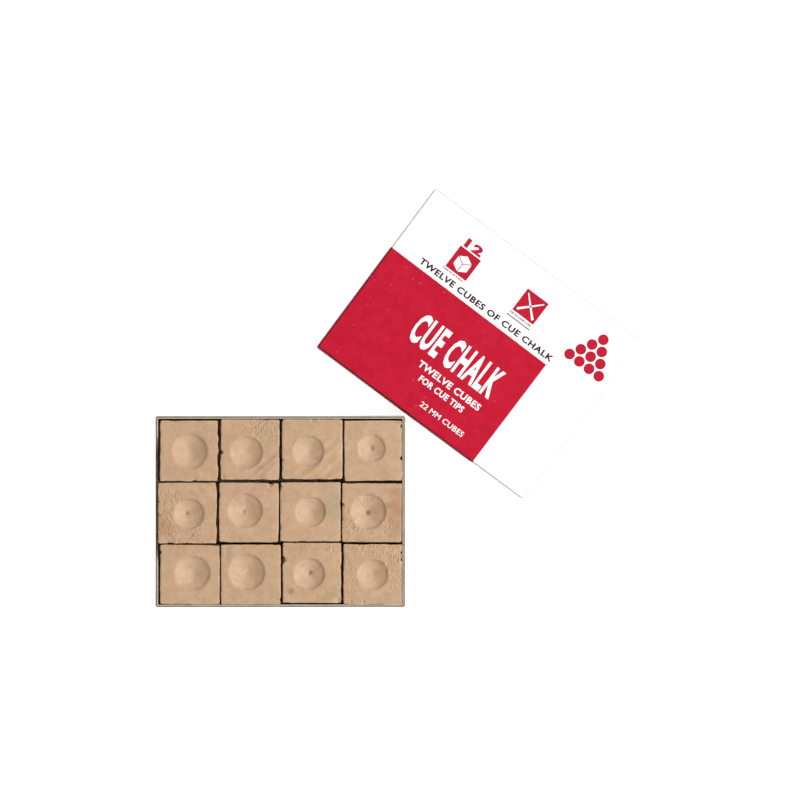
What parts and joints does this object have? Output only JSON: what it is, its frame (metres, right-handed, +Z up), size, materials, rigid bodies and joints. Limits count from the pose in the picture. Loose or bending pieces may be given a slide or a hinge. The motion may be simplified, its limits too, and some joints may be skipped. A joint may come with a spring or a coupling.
{
  "type": "boxed cue chalk cubes",
  "caption": "Open board tray of loose cue chalk cubes with pressed round dimples, each in a paper label, with the tray's printed telescoping lid lying beside it.",
  "frame": {"origin": "middle of the tray's underside, on the surface that the tray and the lid both stand on", "axes": "+Z up; +X along the tray's long side, towards the lid; +Y along the tray's short side, towards the lid"},
  "size_m": [0.1791, 0.1546, 0.0245],
  "materials": {
    "chalk": "dry pressed chalk, dead matt, tan, slightly mottled",
    "label_paper": "thin matt paper printed dark brown, with a plain tan border",
    "tray_board": "raw grey chipboard",
    "tray_paper": "matt pale grey cover paper",
    "tray_liner": "matt beige lining paper",
    "lid_board": "raw grey chipboard",
    "lid_paper": "white cover paper printed in red, light satin",
    "stay_tape": "brown gummed kraft tape",
    "print_red": "flat red printing ink, light satin",
    "print_dark": "dark printing ink",
    "print_white": "white printing ink"
  },
  "bodies": {
    "tray": {"tray_board": "tray_board", "tray_wrap": "tray_paper", "tray_liner": "tray_liner", "tray_corner_stay_1": "stay_tape", "tray_corner_stay_2": "stay_tape", "tray_corner_stay_3": "stay_tape", "tray_corner_stay_4": "stay_tape"},
    "lid": {"lid_board": "lid_board", "lid_wrap": "lid_paper", "lid_corner_stay_1": "stay_tape", "lid_corner_stay_2": "stay_tape", "lid_corner_stay_3": "stay_tape", "lid_corner_stay_4": "stay_tape"},
    "cube_01": {"chalk_block_01": "chalk", "chalk_label_01": "label_paper"},
    "cube_02": {"chalk_block_02": "chalk", "chalk_label_02": "label_paper"},
    "cube_03": {"chalk_block_03": "chalk", "chalk_label_03": "label_paper"},
    "cube_04": {"chalk_block_04": "chalk", "chalk_label_04": "label_paper"},
    "cube_05": {"chalk_block_05": "chalk", "chalk_label_05": "label_paper"},
    "cube_06": {"chalk_block_06": "chalk", "chalk_label_06": "label_paper"},
    "cube_07": {"chalk_block_07": "chalk", "chalk_label_07": "label_paper"},
    "cube_08": {"chalk_block_08": "chalk", "chalk_label_08": "label_paper"},
    "cube_09": {"chalk_block_09": "chalk", "chalk_label_09": "label_paper"},
    "cube_10": {"chalk_block_10": "chalk", "chalk_label_10": "label_paper"},
    "cube_11": {"chalk_block_11": "chalk", "chalk_label_11": "label_paper"},
    "cube_12": {"chalk_block_12": "chalk", "chalk_label_12": "label_paper"}
  },
  "joints": [
    {"name": "lid_lift", "type": "slide", "parent": "tray", "child": "lid", "axis": [0, 0, 1], "range_m": [0, 0.05]},
    {"name": "cube_01_lift", "type": "slide", "parent": "tray", "child": "cube_01", "axis": [0, 0, 1], "range_m": [0, 0.03]},
    {"name": "cube_02_lift", "type": "slide", "parent": "tray", "child": "cube_02", "axis": [0, 0, 1], "range_m": [0, 0.03]},
    {"name": "cube_03_lift", "type": "slide", "parent": "tray", "child": "cube_03", "axis": [0, 0, 1], "range_m": [0, 0.03]},
    {"name": "cube_04_lift", "type": "slide", "parent": "tray", "child": "cube_04", "axis": [0, 0, 1], "range_m": [0, 0.03]},
    {"name": "cube_05_lift", "type": "slide", "parent": "tray", "child": "cube_05", "axis": [0, 0, 1], "range_m": [0, 0.03]},
    {"name": "cube_06_lift", "type": "slide", "parent": "tray", "child": "cube_06", "axis": [0, 0, 1], "range_m": [0, 0.03]},
    {"name": "cube_07_lift", "type": "slide", "parent": "tray", "child": "cube_07", "axis": [0, 0, 1], "range_m": [0, 0.03]},
    {"name": "cube_08_lift", "type": "slide", "parent": "tray", "child": "cube_08", "axis": [0, 0, 1], "range_m": [0, 0.03]},
    {"name": "cube_09_lift", "type": "slide", "parent": "tray", "child": "cube_09", "axis": [0, 0, 1], "range_m": [0, 0.03]},
    {"name": "cube_10_lift", "type": "slide", "parent": "tray", "child": "cube_10", "axis": [0, 0, 1], "range_m": [0, 0.03]},
    {"name": "cube_11_lift", "type": "slide", "parent": "tray", "child": "cube_11", "axis": [0, 0, 1], "range_m": [0, 0.03]},
    {"name": "cube_12_lift", "type": "slide", "parent": "tray", "child": "cube_12", "axis": [0, 0, 1], "range_m": [0, 0.03]}
  ]
}
